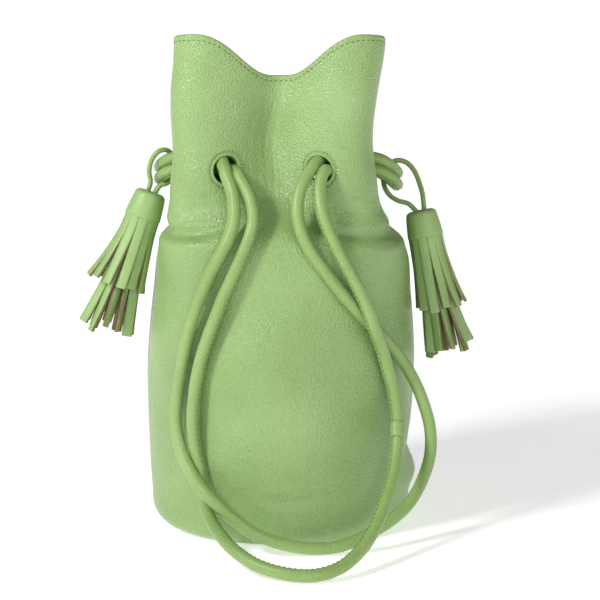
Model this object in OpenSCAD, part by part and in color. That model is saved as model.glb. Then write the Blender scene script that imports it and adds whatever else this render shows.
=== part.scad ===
// Drawstring bucket bag in soft leather. It stands open on its flat bottom,
// with its neck gathered into four lobes by two leather straps, and two tassels.
// Millimetres, +Z up, front faces -Y, origin in the middle of the bottom.

/* [Pouch] */
// Diameter of the flat bottom
base_d = 132; // [126:1:136]
// Height at which the turned-under bottom edge becomes the wall
corner_h = 13; // [11:1:15]
// Largest diameter of the pouch
belly_d = 159; // [156:1:160]
// Mean height of the mouth
mouth_h = 272.5; // [270:0.5:275]
// How far the rim rises and falls between lobes and valleys
rim_wave = 8.8; // [6:0.2:10]
// How deep the four gathers are at the neck
gather = 17; // [15:0.5:17.5]

/* [Leather] */
// Thickness of the outer leather
leather_t = 1.6; // [1.2:0.1:1.8]
// Thickness of the leather facing inside the mouth
facing_t = 1.2; // [0.8:0.1:1.4]
// Thickness of the cloth lining
lining_t = 0.8; // [0.6:0.1:1.0]
// Thickness of the stiff board in the bottom
board_t = 2.0; // [1.5:0.1:2.2]

/* [Eyelets] */
// Height of the row of eyelets
eyelet_h = 212; // [208:1:216]
// Angle from each valley to the eyelets on both sides of it
eyelet_angle = 25; // [24:0.5:26]
// Clear diameter inside a bound eyelet
eyelet_d = 16; // [15.8:0.1:16.2]

/* [Straps] */
// Diameter of the round leather strap
strap_d = 6.4; // [6:0.1:6.6]

/* [Tassels] */
// Diameter of the thin cord that a tassel hangs by
hanger_d = 3; // [2.4:0.2:3.2]
// Diameter of the cap at its top edge
cap_top_d = 16.8; // [16:0.2:17.2]
// Diameter of the cap at its bottom edge
cap_bottom_d = 20.4; // [20:0.2:20.8]
// Height of the cap
cap_h = 14; // [12:0.5:16]
// Length of the upper fringe below the cap
upper_fringe = 43; // [36:1:48]
// Length of the lower fringe below the cap
lower_fringe = 72; // [60:1:74]
// Number of strips in the upper fringe
strips = 9; // [7:1:9]

/* [Hidden] */

$fn = 48;
green = "#9bc473";
deep_green = "#86ad60";
flesh_side = "#9a8a5c";
cloth = "#b9ab8c";
board_grey = "#8c8579";

base_r = base_d / 2;
belly_r = belly_d / 2;
// The wall starts at this radius, above the turned-under edge
corner_r = belly_r - 2.5;
neck_r = 57.6;
// Room between two pieces that lie on each other
gap = 0.05;
// Room between two curved skins
skin_gap = 0.3;
full_steps = 72;
step_angle = 360 / full_steps;

// Stations up the wall: height, mean radius, depth of the gathers.
STATIONS = [
    [corner_h, corner_r, 0],
    [95, belly_r, 0],
    [137, belly_r - 2.1, 0.06 * gather],
    [168, belly_r - 3.5, 0.3 * gather],
    [195, 64, 0.82 * gather],
    [222, neck_r, gather],
    [255, neck_r + 1.6, gather],
    [mouth_h, neck_r + 2.4, gather]
];
WALL_HEIGHTS = [13, 30, 60, 95, 118, 137, 150, 162, 173, 184, 195, 205, 215, 228, 248, mouth_h];
CORNER_ANGLES = [0, 18, 36, 60];

last = len(STATIONS) - 1;

function sq(v) = v * v;
function unit(v) = v / norm(v);
function smooth(t) = let (u = min(1, max(0, t))) u * u * (3 - 2 * u);

// Smooth curve through the stations, for column c at height z.
function tangent(i, c) = (i == 0 || i == last) ? 0
    : (STATIONS[i + 1][c] - STATIONS[i - 1][c]) / (STATIONS[i + 1][0] - STATIONS[i - 1][0]);
function span_at(z, i = 0) = (i >= last - 1 || z < STATIONS[i + 1][0]) ? i : span_at(z, i + 1);
function hermite(u, p, q, mp, mq) = (2 * u * u * u - 3 * u * u + 1) * p + (u * u * u - 2 * u * u + u) * mp
    + (3 * u * u - 2 * u * u * u) * q + (u * u * u - u * u) * mq;
function station(z, c) = let (i = span_at(z), h = STATIONS[i + 1][0] - STATIONS[i][0])
    hermite((z - STATIONS[i][0]) / h, STATIONS[i][c], STATIONS[i + 1][c],
        h * tangent(i, c), h * tangent(i + 1, c));

// Plan of the pouch: a circle with four gathers, valleys on the X and Y axes.
function plan_r(a, z) = station(z, 1) - station(z, 2) * cos(4 * a);
function plan_normal(a, z) = let (r = plan_r(a, z), dr = 4 * station(z, 2) * sin(4 * a))
    unit([r * cos(a) + dr * sin(a), r * sin(a) - dr * cos(a)]);
function lift(a, z) = -rim_wave * cos(4 * a) * smooth((z - 222) / (mouth_h - 222));
function wall_slope(a, z) = (plan_r(a, z + 1) - plan_r(a, z - 1)) / 2;

// A point of the wall, t below the outer surface, and the point on the turned-under edge.
function wall_normal(a, z) = let (n = plan_normal(a, z)) unit([n[0], n[1], -wall_slope(a, z)]);
function wall_point(a, z, t) = let (r = plan_r(a, z))
    [r * cos(a), r * sin(a), z + lift(a, z)] - t * wall_normal(a, z);
function corner_point(a, e, t) = let (w = corner_r - base_r, n = unit([sin(e) / w, -cos(e) / corner_h]),
        r = base_r + w * sin(e) - t * n[0])
    [r * cos(a), r * sin(a), corner_h * (1 - cos(e)) - t * n[1]];

// One skin of the pouch between two depths, from angle a0 over a number of steps.
function skin_rows(t, from_corner, low, high) = concat(
    [for (e = CORNER_ANGLES) if (e >= from_corner) [0, e, t]],
    [for (z = WALL_HEIGHTS) if (z >= low && z <= high) [1, z, t]]);
// Both faces of a skin are split along the same diagonal, so that nested skins never touch.
function split(a, b, c, d, outside) = outside ? [[a, c, b], [a, d, c]] : [[a, d, b], [d, c, b]];
function row_point(a, row) = row[0] == 0 ? corner_point(a, row[1], row[2]) : wall_point(a, row[1], row[2]);

module skin(a0, steps, outer_t, inner_t, from_corner, low, high) {
    closed = steps == full_steps;
    columns = closed ? steps : steps + 1;
    outer = skin_rows(outer_t, from_corner, low, high);
    inner = skin_rows(inner_t, from_corner, low, high);
    rows = len(outer);
    ring = concat(outer, [for (k = [rows - 1 : -1 : 0]) inner[k]]);
    around = 2 * rows;
    points = [for (j = [0 : columns - 1], row = ring) row_point(a0 + j * step_angle, row)];
    walls = [for (j = [0 : steps - 1], k = [0 : around - 1])
        let (a = j * around, b = (j + 1) % columns * around, k2 = (k + 1) % around)
        each split(a + k, b + k, b + k2, a + k2, k < rows)];
    first_end = [for (k = [0 : rows - 2]) each [
        [k, around - 1 - k, k + 1], [k + 1, around - 1 - k, around - 2 - k]]];
    shift = (columns - 1) * around;
    ends = closed ? [] : concat(first_end, [for (f = first_end) [shift + f[0], shift + f[2], shift + f[1]]]);
    polyhedron(points, concat(walls, ends), convexity = 10);
}

// Eyelets: place number 0 to 7 counts round from the front right one.
function eyelet_azimuth(i) = 90 * floor((i + 1) / 2) - 90 + eyelet_angle * (i % 2 == 0 ? 1 : -1);
wall_mid = (leather_t + skin_gap + facing_t) / 2;

module at_eyelet(i) {
    a = eyelet_azimuth(i);
    n = wall_normal(a, eyelet_h);
    translate(wall_point(a, eyelet_h, wall_mid))
        rotate([0, acos(n[2]), atan2(n[1], n[0])]) children();
}

binding_wall = 1.1;
hole_r = eyelet_d / 2 + binding_wall;

module eyelet_holes(first, final) {
    through = 16;
    for (i = [first : final]) at_eyelet(i) cylinder(h = through, r = hole_r, center = true);
}

module side_panel(a0, eyelet_from) {
    color(green) difference() {
        skin(a0, full_steps / 2, 0, leather_t, 0, corner_h, mouth_h);
        eyelet_holes(eyelet_from, eyelet_from + 3);
    }
}
module front_panel() { side_panel(180, -2); }
module back_panel() { side_panel(0, 2); }

// The facing starts below the eyelets; the lining ends a little lower still.
facing_from = 195;
lining_to = 184;
no_corner = 90;
lining_corner = 18;
module mouth_facing() {
    t = leather_t + skin_gap;
    color(deep_green) difference() {
        skin(0, full_steps, t, t + facing_t, no_corner, facing_from, mouth_h);
        eyelet_holes(0, 7);
    }
}

module lining() {
    t = leather_t + skin_gap;
    color(cloth) skin(0, full_steps, t, t + lining_t, lining_corner, corner_h, lining_to);
}

// The bottom: three discs on one another, each with its own room to the wall.
panel_margin = 0.4;
board_margin = 4;
lining_margin = 1;
base_lining_t = 0.6;
module disc(z, margin, t) { translate([0, 0, z]) cylinder(h = t, r = base_r - margin, $fn = 96); }
module base_panel() { color(green) disc(0, panel_margin, leather_t); }
module base_board() { color(board_grey) disc(leather_t + gap, board_margin, board_t); }
module base_lining() { color(cloth) disc(leather_t + board_t + 2 * gap, lining_margin, base_lining_t); }

// A rolled leather binding: a short tube through the wall with a rounded lip on each face.
lip_r = 0.7;
lip_rise = 0.4;
module eyelet(i) {
    bore = eyelet_d / 2;
    lip_z = wall_mid + lip_rise;
    color(deep_green) at_eyelet(i) {
        difference() {
            cylinder(h = 2 * lip_z, r = hole_r - gap, center = true);
            cylinder(h = 2 * lip_z + 2, r = bore, center = true);
        }
        for (side = [-1, 1]) translate([0, 0, side * lip_z])
            rotate_extrude() translate([bore + lip_r, 0]) circle(r = lip_r);
    }
}

// Tube of radius r along a list of points; the section stands square to the path.
function path_tangent(p, i, closed) = let (n = len(p))
    unit(closed ? p[(i + 1) % n] - p[(i + n - 1) % n] : p[min(i + 1, n - 1)] - p[max(i - 1, 0)]);
function first_side(t) = unit(cross(t, abs(t[2]) < 0.8 ? [0, 0, 1] : [0, 1, 0]));
function carried_side(s, t) = unit(s - (s * t) * t);
function sides_along(p, closed, i = 0, s = undef) = i >= len(p) ? []
    : let (t = path_tangent(p, i, closed), now = i == 0 ? first_side(t) : carried_side(s, t))
    concat([now], sides_along(p, closed, i + 1, now));

module tube(p, r, closed = false, facets = 8) {
    n = len(p);
    side = sides_along(p, closed);
    points = [for (i = [0 : n - 1]) let (t = path_tangent(p, i, closed), s = side[i], u = cross(t, s))
        each [for (k = [0 : facets - 1]) let (a = 360 * k / facets) p[i] + r * (cos(a) * s + sin(a) * u)]];
    spans = closed ? n : n - 1;
    walls = [for (i = [0 : spans - 1], k = [0 : facets - 1]) let (j = (i + 1) % n, k2 = (k + 1) % facets)
        each [[i * facets + k, j * facets + k, j * facets + k2],
            [i * facets + k, j * facets + k2, i * facets + k2]]];
    caps = closed ? [] : concat(
        [[for (k = [0 : facets - 1]) k]],
        [[for (k = [facets - 1 : -1 : 0]) (n - 1) * facets + k]]);
    polyhedron(points, concat(walls, caps), convexity = 10);
}

// Neck runs. Strap one lies just above strap two all the way round the neck.
strap_rise = 3.4;
strap_one_h = eyelet_h + strap_rise;
strap_two_h = eyelet_h - strap_rise;
wall_cross_r = 54.5;
half_width = 25.4;
side_reach = 72.5;
right_sag = 9.5;
left_sag = 6;
back_reach = 61.5;
// The rounded ends at the hinge line stand a little proud of the tube
end_swell = 0.2;

function turn(p, a) = [p[0] * cos(a) - p[1] * sin(a), p[0] * sin(a) + p[1] * cos(a), p[2]];
// Outside a valley: half an ellipse from one eyelet to the next, dipping by sag in the middle.
function bulge(azimuth, reach, sag, h) = [for (e = [0 : 22.5 : 180])
    let (out = wall_cross_r + (reach - wall_cross_r) * sin(e))
    turn([out, -half_width * cos(e), h - sag * sq(sin(e))], azimuth)];
// Inside a lobe: the strap cuts the corner between two eyelets.
cut_r = 54;
function corner_cut(azimuth, h) = [for (e = [-12, 0, 12])
    turn([cut_r * cos(e), cut_r * sin(e), h], azimuth)];
function turned(p) = [for (i = [len(p) - 1 : -1 : 0]) p[i]];

// From inside the front lobes out through the front eyelets to the hinge line.
STRAP_ONE_LEFT_EXIT = [
    [-28.3, -62, 208], [-27.7, -58.4, 210.3], [-28.5, -54.2, 210.8], [-30, -49.5, 213.8]
];
STRAP_ONE_RIGHT_EXIT = [
    [24.4, -49.5, 213.8], [23, -54.2, 210.8], [21.6, -58.2, 209.9], [20.5, -62, 208]
];
STRAP_TWO_LEFT_EXIT = [
    [-21.5, -62, 208], [-21.6, -58.2, 209.9], [-22.6, -54.2, 209.8], [-24.4, -49.5, 208.9]
];
STRAP_TWO_RIGHT_EXIT = [
    [30.4, -49.3, 208.9], [29.2, -54.2, 209.8], [27.9, -58.5, 210.1], [27.5, -62, 208]
];

module neck(h, left_exit, right_exit) {
    run = concat(left_exit, turned(corner_cut(-135, h)), turned(bulge(180, side_reach, left_sag, h)),
        turned(corner_cut(135, h)), turned(bulge(90, back_reach, 0, h)), turned(corner_cut(45, h)),
        turned(bulge(0, side_reach, right_sag, h)), turned(corner_cut(-45, h)), right_exit);
    color(green) {
        tube(run, strap_d / 2);
        for (p = [left_exit[0], right_exit[3]]) translate(p) sphere(d = strap_d + end_swell, $fn = 24);
    }
}
module strap_one_neck() { neck(strap_one_h, STRAP_ONE_LEFT_EXIT, STRAP_ONE_RIGHT_EXIT); }
module strap_two_neck() { neck(strap_two_h, STRAP_TWO_LEFT_EXIT, STRAP_TWO_RIGHT_EXIT); }

// Hanging loops, from the left eyelet down to the floor in front and up to the right eyelet.
STRAP_ONE_ROUTE = [
    [-28.3, -62.8, 204.4], [-27.5, -64, 196], [-27.5, -68, 187], [-28.7, -71.5, 178], [-31, -73.8, 168],
    [-34.5, -74, 156], [-41, -71, 137], [-48.5, -67.5, 117], [-53.5, -64.6, 100], [-56, -62.5, 84],
    [-57, -63, 69], [-54, -69, 55], [-49, -74.5, 45], [-44, -78.5, 38], [-38, -83, 32],
    [-31, -86.5, 26], [-22, -88.5, 19], [-12, -90, 12.5], [3, -89.5, 6.5], [20, -87.5, 3.6],
    [36, -85, 5], [50, -80, 10], [62, -72, 15], [73, -62, 22], [81, -54, 33],
    [86, -49, 47], [86, -48, 62], [82, -49, 77], [76, -50, 91], [68, -53, 104],
    [59, -59, 115], [50, -66.5, 125], [41, -72, 134], [33, -75, 143], [25, -77, 153],
    [18, -76, 165], [14, -71.5, 177], [13.5, -67, 188], [16, -64.5, 197], [19.8, -62.5, 204.4]
];
STRAP_TWO_ROUTE = [
    [-21.5, -62.4, 204.4], [-20, -64, 196], [-20, -68, 187], [-21.2, -71.8, 178], [-23.7, -75, 168],
    [-27, -76.6, 155], [-32, -75.4, 139], [-37.5, -74, 122], [-42.5, -72.3, 105], [-46, -70.4, 88],
    [-47.5, -69.2, 71], [-46.5, -69.2, 57], [-44, -70, 45], [-42, -72, 34], [-40, -78, 25],
    [-36, -89, 19], [-31, -100, 15.5], [-23, -113, 11], [-11, -125, 6.8], [4, -132, 4],
    [20, -133.5, 3.5], [34, -127, 6.5], [45, -114, 12.5], [53, -100, 21], [59, -87, 32],
    [64, -75, 45], [66, -65.5, 58], [66.5, -59, 71], [64.5, -58, 85], [61, -61, 98],
    [57.5, -66, 110], [53, -73.5, 122], [48, -76, 133], [42.5, -78, 145], [35.5, -77, 158],
    [29.5, -74, 171], [25.8, -70, 184], [25, -66, 195], [27.2, -63, 204.4]
];
module strap_one_loop() { color(green) tube(STRAP_ONE_ROUTE, strap_d / 2); }
module strap_two_loop() { color(green) tube(STRAP_TWO_ROUTE, strap_d / 2); }

// A lap where the two ends of a strap are joined: a thin sleeve round the tube.
lap_t = 0.3;
lap_length = 7;
module lap(middle, direction) {
    n = unit(direction);
    color(deep_green) translate(middle) rotate([0, acos(n[2]), atan2(n[1], n[0])]) difference() {
        cylinder(h = lap_length, d = strap_d + 2 * lap_t, center = true, $fn = 24);
        cylinder(h = lap_length + 2, d = strap_d + 2 * gap, center = true, $fn = 24);
    }
}
lap_at = 26;
module strap_one_lap() { lap([0, back_reach, strap_one_h], [1, 0, 0]); }
module strap_two_lap() {
    p = STRAP_TWO_ROUTE[lap_at];
    q = STRAP_TWO_ROUTE[lap_at + 1];
    lap((p + q) / 2, q - p);
}

// Tassels. Each hangs by a cord looped round both straps where they bulge out at the side.
// Top of the cap and outward lean in degrees; the left one is drawn as its mirror image.
RIGHT_TASSEL = [[82, -13, 184], 12];
LEFT_TASSEL = [[76.5, -16.5, 194.5], 18];
RIGHT_HANGER_ROUTE = [
    [81, -13, 186.5], [74.5, -11, 189.5], [68.5, -8.5, 193], [66, -6.5, 198.5],
    [66, -4.5, 204.5], [68.5, -3.2, 209.5], [72.5, -3, 211.8], [77, -3.5, 210.5],
    [80.5, -5, 206], [83, -7.5, 200], [84.2, -10.5, 193], [83.8, -12.5, 188.5]
];
LEFT_HANGER_ROUTE = [
    [75.8, -16.5, 197.2], [72, -16, 199.3], [68, -15.2, 199.4], [64, -13.8, 201.2],
    [61.3, -13.2, 205.5], [60.6, -13.6, 211.5], [62.5, -15.5, 216.3], [66, -18.5, 218.8],
    [70, -21.5, 216.3], [72.6, -23, 211], [75, -21, 204.5], [76.3, -18.3, 199.5]
];
module on_side(side) {
    if (side < 0) mirror([1, 0, 0]) children();
    else children();
}
module at_tassel(side) {
    place = side < 0 ? LEFT_TASSEL : RIGHT_TASSEL;
    on_side(side) translate(place[0]) rotate([0, -place[1], 0]) children();
}
module tassel_hanger(side) {
    color(deep_green) on_side(side)
        tube(side < 0 ? LEFT_HANGER_ROUTE : RIGHT_HANGER_ROUTE, hanger_d / 2, closed = true);
}
cap_wall = 1.4;
module tassel_cap(side) {
    color(green) at_tassel(side) difference() {
        translate([0, 0, -cap_h]) cylinder(h = cap_h, d1 = cap_bottom_d, d2 = cap_top_d);
        translate([0, 0, -cap_h - 1]) cylinder(
            h = cap_h + 1 - cap_wall, d1 = cap_bottom_d - 2 * cap_wall, d2 = cap_top_d - 2 * cap_wall);
    }
}
core_d = 6;
core_below = 6;
module tassel_core(side) {
    color(flesh_side) at_tassel(side) translate([0, 0, -cap_h - core_below])
        cylinder(h = cap_h + core_below - cap_wall - gap, d = core_d);
}
strip_t = 1.6;
strip_gap = 0.3;
// How far the strips stand out of the band that they are cut from
proud = 0.25;
band_room = 0.6;
// A fringe: a band rolled round the core, cut into strips that splay out below the cap.
module fringe(count, band_r, splay, length) {
    strip_w = 2 * (band_r - strip_t) * tan(180 / count) - strip_gap;
    translate([0, 0, -cap_h - 1]) difference() {
        cylinder(h = cap_h - cap_wall - band_room, r = band_r);
        translate([0, 0, -1]) cylinder(h = cap_h + 2, r = band_r - strip_t);
    }
    for (k = [0 : count - 1]) rotate([0, 0, 360 * (k + 0.5) / count])
        translate([band_r - strip_t + proud, 0, -cap_h]) rotate([0, -splay, 0])
            translate([0, -strip_w / 2, -length]) cube([strip_t, strip_w, length]);
}
upper_band_r = 7.0;
lower_band_r = 4.8;
upper_splay = 9.5;
lower_splay = 6;
module tassel_upper_fringe(side) {
    color(flesh_side) at_tassel(side) fringe(strips, upper_band_r, upper_splay, upper_fringe);
}
module tassel_lower_fringe(side) {
    color(flesh_side) at_tassel(side) fringe(strips - 2, lower_band_r, lower_splay, lower_fringe);
}

front_panel();
back_panel();
base_panel();
base_board();
base_lining();
lining();
mouth_facing();
eyelet(0);  // eyelet_front_right
eyelet(1);  // eyelet_right_front
eyelet(2);  // eyelet_right_back
eyelet(3);  // eyelet_back_right
eyelet(4);  // eyelet_back_left
eyelet(5);  // eyelet_left_back
eyelet(6);  // eyelet_left_front
eyelet(7);  // eyelet_front_left
strap_one_neck();
strap_two_neck();
strap_one_loop();
strap_two_loop();
strap_one_lap();
strap_two_lap();
tassel_hanger(1);  // right_tassel_hanger
tassel_cap(1);  // right_tassel_cap
tassel_core(1);  // right_tassel_core
tassel_upper_fringe(1);  // right_tassel_upper_fringe
tassel_lower_fringe(1);  // right_tassel_lower_fringe
tassel_hanger(-1);  // left_tassel_hanger
tassel_cap(-1);  // left_tassel_cap
tassel_core(-1);  // left_tassel_core
tassel_upper_fringe(-1);  // left_tassel_upper_fringe
tassel_lower_fringe(-1);  // left_tassel_lower_fringe
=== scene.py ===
# %% [markdown]
# # A drawstring bucket bag in pebbled leather
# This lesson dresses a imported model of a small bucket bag: a round-bottomed pouch of soft leather, gathered
# at the neck by two round straps that run through leather-bound eyelets, with a fringed tassel on each side.
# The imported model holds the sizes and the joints. Everything below makes the surfaces that the eye sees.

import math

import bpy
import numpy as np
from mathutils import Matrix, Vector


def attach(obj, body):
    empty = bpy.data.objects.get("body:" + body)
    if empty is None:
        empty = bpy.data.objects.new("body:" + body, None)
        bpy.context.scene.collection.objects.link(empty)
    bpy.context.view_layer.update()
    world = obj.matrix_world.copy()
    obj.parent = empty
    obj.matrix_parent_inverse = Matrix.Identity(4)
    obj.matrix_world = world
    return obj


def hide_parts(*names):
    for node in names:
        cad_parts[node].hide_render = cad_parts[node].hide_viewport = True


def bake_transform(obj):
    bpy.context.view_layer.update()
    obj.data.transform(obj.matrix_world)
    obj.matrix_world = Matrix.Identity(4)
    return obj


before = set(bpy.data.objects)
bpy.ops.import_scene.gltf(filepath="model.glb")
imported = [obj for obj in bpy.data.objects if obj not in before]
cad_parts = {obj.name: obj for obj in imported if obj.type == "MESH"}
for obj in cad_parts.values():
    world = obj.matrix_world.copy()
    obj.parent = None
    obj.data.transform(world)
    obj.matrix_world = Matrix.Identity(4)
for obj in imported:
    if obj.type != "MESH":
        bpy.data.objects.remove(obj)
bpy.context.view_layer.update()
MM = 0.001
random = np.random.default_rng(11)
print("packed nodes:", len(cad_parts))

# %% [markdown]
# ## Where we stand
# The bag is looked at from the front, from less than a metre, with the eye a little above the middle of the
# bag. A lens of about 80 mm gives the gentle perspective that shows a little of the floor in front of it.

# %% Camera
camera_data = bpy.data.cameras.new("camera")
camera_data.lens = 80.7
camera = bpy.data.objects.new("camera", camera_data)
camera.location = Vector((12, -800, 220)) * MM
camera.rotation_euler = (math.radians(90 - 6.4), 0, 0)
bpy.context.collection.objects.link(camera)
bpy.context.scene.camera = camera
print("camera, mm:", [round(v / MM) for v in camera.location])

# %% [markdown]
# ## Helpers for meshes
# Almost every surface of the bag is a grid of points that follows a rule. Such a grid could come from a
# primitive with modifiers, but then its shape would be hidden in their settings. Here one helper turns a grid
# of points straight into a mesh. It takes all the points at once, so even a dense panel is quick to build.

# %% Mesh helpers
def unit(v):
    """Vectors scaled to length one, along the last axis."""
    return v / np.maximum(np.linalg.norm(v, axis=-1, keepdims=True), 1e-12)


def make_piece(name, points_mm, faces, materials, face_material=None):
    """A mesh object from points in millimetres; face_material gives each face's slot number."""
    mesh = bpy.data.meshes.new(name)
    faces = faces if isinstance(faces, list) else faces.tolist()
    mesh.from_pydata((np.asarray(points_mm) * MM).tolist(), [], faces)
    for material in materials:
        mesh.materials.append(material)
    if face_material is not None:
        mesh.polygons.foreach_set("material_index", np.asarray(face_material, np.int32))
    mesh.polygons.foreach_set("use_smooth", np.full(len(mesh.polygons), True))
    mesh.validate()
    piece = bpy.data.objects.new(name, mesh)
    bpy.context.collection.objects.link(piece)
    return piece


def grid_faces(rows, columns, close_rows=False, close_columns=False):
    """Quads over a grid of points that is stored row by row."""
    i = np.arange(rows if close_rows else rows - 1)
    j = np.arange(columns if close_columns else columns - 1)
    i, j = (a.ravel() for a in np.meshgrid(i, j, indexing="ij"))
    i2, j2 = (i + 1) % rows, (j + 1) % columns
    return np.stack([i * columns + j, i * columns + j2, i2 * columns + j2, i2 * columns + j], axis=1)

# %% [markdown]
# ## Helpers for cords
# A strap is a tube round a smooth line. The line goes through a few given points and is then cut into equal
# steps. The tube's section is carried along the line without twisting, and then turned a little at a time so
# that its seam faces the side that we want at both ends.

# %% Lines and tubes
def smooth_line(points, step):
    """A smooth curve through the points, cut into equal steps of about the given length."""
    p = np.asarray(points, float)
    p = np.vstack([2 * p[0] - p[1], p, 2 * p[-1] - p[-2]])
    t = np.linspace(0, 1, 12, endpoint=False)[:, None]
    parts = []
    for a, b, c, d in zip(p, p[1:], p[2:], p[3:]):
        parts.append(0.5 * (2 * b + (c - a) * t + (2 * a - 5 * b + 4 * c - d) * t**2
                            + (3 * b - a - 3 * c + d) * t**3))
    line = np.vstack(parts + [p[-2:-1]])
    run = np.concatenate([[0], np.cumsum(np.linalg.norm(np.diff(line, axis=0), axis=1))])
    wanted = np.linspace(0, run[-1], max(2, round(run[-1] / step) + 1))
    return np.stack([np.interp(wanted, run, line[:, k]) for k in range(3)], axis=1)


def line_length(line):
    return float(np.linalg.norm(np.diff(line, axis=0), axis=1).sum())


def line_frames(line, start_side, end_side=None):
    """Along, side and across directions at each point of a line."""
    along = unit(np.gradient(line, axis=0))
    side = np.zeros_like(line)
    now = np.asarray(start_side, float)
    for k, t in enumerate(along):
        now = unit(now - now.dot(t) * t)
        side[k] = now
    across = np.cross(along, side)
    if end_side is not None:
        wanted = unit(np.asarray(end_side, float) - np.dot(end_side, along[-1]) * along[-1])
        turn = math.atan2(wanted.dot(across[-1]), wanted.dot(side[-1]))
        angle = np.linspace(0, turn, len(line))[:, None]
        side = np.cos(angle) * side + np.sin(angle) * across
        across = np.cross(along, side)
    return along, side, across


def tube_points(line, side, across, radius, sides=24):
    """Points of a tube; radius is a number or a function of the angle from the side direction."""
    angle = np.linspace(0, 2 * np.pi, sides, endpoint=False)
    r = radius(angle) if callable(radius) else np.full(sides, radius)
    return (line[:, None] + (r * np.cos(angle))[None, :, None] * side[:, None]
            + (r * np.sin(angle))[None, :, None] * across[:, None])


def tube(name, line, side, across, radius, material, sides=24):
    """A closed tube mesh with flat ends."""
    points = tube_points(line, side, across, radius, sides)
    n = len(line)
    faces = grid_faces(n, sides, close_columns=True).tolist()
    faces.append(list(range(sides))[::-1])
    faces.append([(n - 1) * sides + k for k in range(sides)])
    return make_piece(name, points.reshape(-1, 3), faces, [material])

# %% [markdown]
# ## Colours and surfaces
# Each finish starts from the real one. Colours are written as a dyer's swatch would be read, in sRGB, and one
# function turns them into the linear values that the shader works in. Patterns come from nodes and not from
# pictures, so they have no seams, and their sizes are in millimetres. One function adds any kind of node.

# %% Colour and node helpers
def colour(hex_code, alpha=1.0):
    """sRGB hex to the linear colour that a shader socket takes."""
    parts = [int(hex_code[k:k + 2], 16) / 255 for k in (1, 3, 5)]
    linear = [c / 12.92 if c <= 0.04045 else ((c + 0.055) / 1.055) ** 2.4 for c in parts]
    return (*linear, alpha)


def add(tree, kind, inputs=None, stops=(), **settings):
    """Adds a node, sets its settings and its colour stops, and fills or links its inputs."""
    node = tree.nodes.new(kind)
    for key, value in settings.items():
        setattr(node, key, value)
    for key, value in (inputs or {}).items():
        if isinstance(value, bpy.types.NodeSocket):
            tree.links.new(value, node.inputs[key])
        else:
            node.inputs[key].default_value = value
    for k, (position, hex_code) in enumerate(stops):
        elements = node.color_ramp.elements
        element = elements[k] if k < len(elements) else elements.new(position)
        element.position = position
        element.color = colour(hex_code)
    return node


def new_material(name):
    """An empty material with its shader, its tree and the object's own coordinates, in metres."""
    material = bpy.data.materials.new(name)
    material.use_nodes = True
    tree = material.node_tree
    shader = tree.nodes["Principled BSDF"]
    place = add(tree, "ShaderNodeTexCoord").outputs["Object"]
    return material, tree, shader, place


def per_metre(size_mm):
    """Texture scale for a pattern whose cells are size_mm across."""
    return 1000 / size_mm

# %% [markdown]
# ### Pebbled calf leather
# The pouch is soft calf leather, tumbled in a drum until its grain stands up in small pebbles, and dyed
# through in a pale apple green with a thin satin finish. The pebbles are about 1.1 mm across, with finer
# pores on them. The colour is darker between the pebbles than on their tops, which is painted shade, and
# it also drifts slowly at random, as dyed hide does.

# %% Leather
def leather(name, stops, pebble_mm, relief_mm, roughness, fine_mm=0.5):
    """Dyed leather: stops are dark, middle and light colours, darker as painted shade between the pebbles; the
    grain is pebbles and finer pores.
    """
    material, tree, shader, place = new_material(name)
    drift = add(tree, "ShaderNodeTexNoise", {"Vector": place, "Scale": per_metre(45), "Detail": 3.0})
    warp = add(tree, "ShaderNodeTexNoise", {"Vector": place, "Scale": per_metre(4 * pebble_mm),
                                            "Detail": 2.0})
    bent = add(tree, "ShaderNodeVectorMath", {0: warp.outputs["Color"], "Scale": 0.9 * pebble_mm * MM},
               operation="SCALE")
    where = add(tree, "ShaderNodeVectorMath", {0: place, 1: bent.outputs["Vector"]}, operation="ADD")
    pebbles = add(tree, "ShaderNodeTexVoronoi", {"Vector": where.outputs["Vector"],
                                                 "Scale": per_metre(pebble_mm), "Smoothness": 0.55},
                  feature="SMOOTH_F1")
    pores = add(tree, "ShaderNodeTexNoise", {"Vector": place, "Scale": per_metre(fine_mm), "Detail": 2.0})
    dome = add(tree, "ShaderNodeMath", {0: 1.0, 1: pebbles.outputs["Distance"]}, operation="SUBTRACT")
    height = add(tree, "ShaderNodeMath", {0: pores.outputs["Fac"], 1: 0.22, 2: dome.outputs["Value"]},
                 operation="MULTIPLY_ADD")
    # Painted shade: the tone is darker between the pebbles than on their tops, and drifts slowly at random.
    shade = add(tree, "ShaderNodeMath", {0: drift.outputs["Fac"], 1: 0.62}, operation="MULTIPLY")
    tone = add(tree, "ShaderNodeMath", {0: dome.outputs["Value"], 1: 0.34, 2: shade.outputs["Value"]},
               operation="MULTIPLY_ADD")
    dye_and_pebble_shade = add(tree, "ShaderNodeValToRGB", {"Fac": tone.outputs["Value"]}, stops)
    tree.links.new(dye_and_pebble_shade.outputs["Color"], shader.inputs["Base Color"])
    bump = add(tree, "ShaderNodeBump", {"Height": height.outputs["Value"], "Strength": 1.0,
                                        "Distance": relief_mm * MM})
    tree.links.new(bump.outputs["Normal"], shader.inputs["Normal"])
    gloss = add(tree, "ShaderNodeMapRange", {"Value": dome.outputs["Value"], "From Min": 0.2, "From Max": 0.9,
                                             "To Min": roughness + 0.14, "To Max": roughness})
    tree.links.new(gloss.outputs["Result"], shader.inputs["Roughness"])
    shader.inputs["IOR"].default_value = 1.5
    shader.inputs["Specular IOR Level"].default_value = 0.5
    return material


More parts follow.
